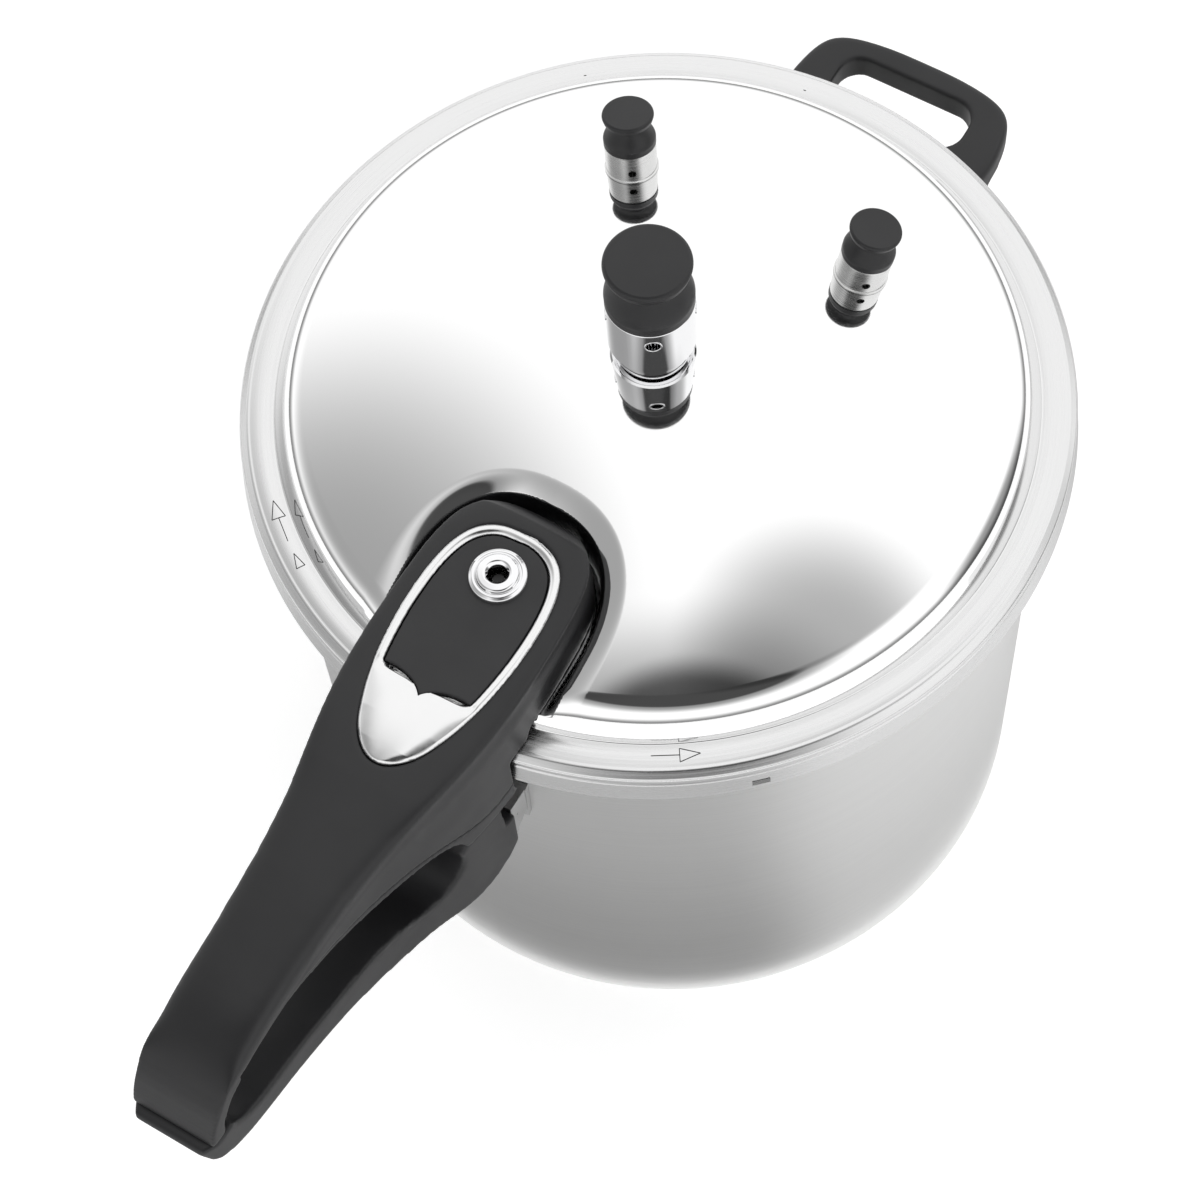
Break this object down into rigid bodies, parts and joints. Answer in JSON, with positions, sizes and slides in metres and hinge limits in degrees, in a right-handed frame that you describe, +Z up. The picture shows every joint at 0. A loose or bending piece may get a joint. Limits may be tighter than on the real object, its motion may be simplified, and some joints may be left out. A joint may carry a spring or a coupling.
{
  "type": "stovetop pressure cooker",
  "caption": "Tall aluminium pressure cooker with a turning bayonet lid, stacked long handles forming a loop, a helper loop handle, a lift-off weight and sprung relief valves.",
  "frame": {"origin": "centre of the pot's flat base, on the pot's axis, where it stands", "axes": "+Z up along the pot's axis, +X along the long handles, helper handle along -X"},
  "size_m": [0.4185, 0.242, 0.273],
  "materials": {
    "pot_metal": "satin, brushed round the wall",
    "lid_metal": "mirror polished",
    "bracket_steel": "satin",
    "rivet_metal": "satin",
    "handle_black": "matte moulded, slightly grained",
    "panel_black": "matte, fine texture",
    "trim_silver": "satin silver",
    "chrome": "mirror polished",
    "knob_black": "matte moulded",
    "turned_steel": "turned, fine rings",
    "screw_steel": "zinc plated",
    "seal_rubber": "silicone, matte"
  },
  "bodies": {
    "pot": {"pot_body": "pot_metal", "pot_handle_bracket": "bracket_steel", "pot_handle_rivets": "rivet_metal", "lower_handle": "handle_black", "lower_handle_screw": "screw_steel", "lower_handle_nut": "screw_steel", "helper_bracket": "bracket_steel", "helper_rivets": "rivet_metal", "helper_handle": "handle_black", "helper_screw": "screw_steel", "helper_nut": "screw_steel"},
    "lid": {"lid_shell": "lid_metal", "lid_gasket": "seal_rubber", "lid_handle_bracket": "bracket_steel", "lid_bracket_rivets": "rivet_metal", "upper_handle": "handle_black", "upper_handle_base": "handle_black", "upper_handle_screws": "screw_steel", "base_screws": "screw_steel", "handle_trim": "trim_silver", "handle_panel": "panel_black", "indicator_collar": "chrome", "indicator_bush": "turned_steel", "indicator_nut": "turned_steel", "vent_pipe": "turned_steel", "vent_seal": "seal_rubber", "vent_nut": "chrome", "vent_filter": "turned_steel", "left_relief_body": "turned_steel", "left_relief_seal": "seal_rubber", "left_relief_nut": "turned_steel", "left_relief_cap": "turned_steel", "left_relief_spring": "screw_steel", "right_relief_body": "turned_steel", "right_relief_seal": "seal_rubber", "right_relief_nut": "turned_steel", "right_relief_cap": "turned_steel", "right_relief_spring": "screw_steel"},
    "regulator": {"regulator_weight": "chrome", "regulator_knob": "knob_black"},
    "left_relief": {"left_relief_stem": "turned_steel", "left_relief_knob": "knob_black"},
    "right_relief": {"right_relief_stem": "turned_steel", "right_relief_knob": "knob_black"},
    "indicator": {"indicator_pin": "turned_steel", "indicator_seal": "seal_rubber", "indicator_clip": "turned_steel"}
  },
  "joints": [
    {"name": "lid_turn", "type": "hinge", "parent": "pot", "child": "lid", "pos_m": [0, 0, 0.2], "axis": [0, 0, 1], "range_deg": [0, 30]},
    {"name": "regulator_lift", "type": "slide", "parent": "lid", "child": "regulator", "axis": [0, 0, 1], "range_m": [0, 0.022]},
    {"name": "left_relief_lift", "type": "slide", "parent": "lid", "child": "left_relief", "axis": [-0.167, 0.1213, 0.9785], "range_m": [0, 0.002], "stiffness_N_per_m": 400, "springref_m": -0.002, "deforming": ["left_relief_spring"]},
    {"name": "right_relief_lift", "type": "slide", "parent": "lid", "child": "right_relief", "axis": [-0.167, -0.1213, 0.9785], "range_m": [0, 0.002], "stiffness_N_per_m": 400, "springref_m": -0.002, "deforming": ["right_relief_spring"]},
    {"name": "indicator_rise", "type": "slide", "parent": "lid", "child": "indicator", "axis": [0, 0, 1], "range_m": [0, 0.004]}
  ]
}
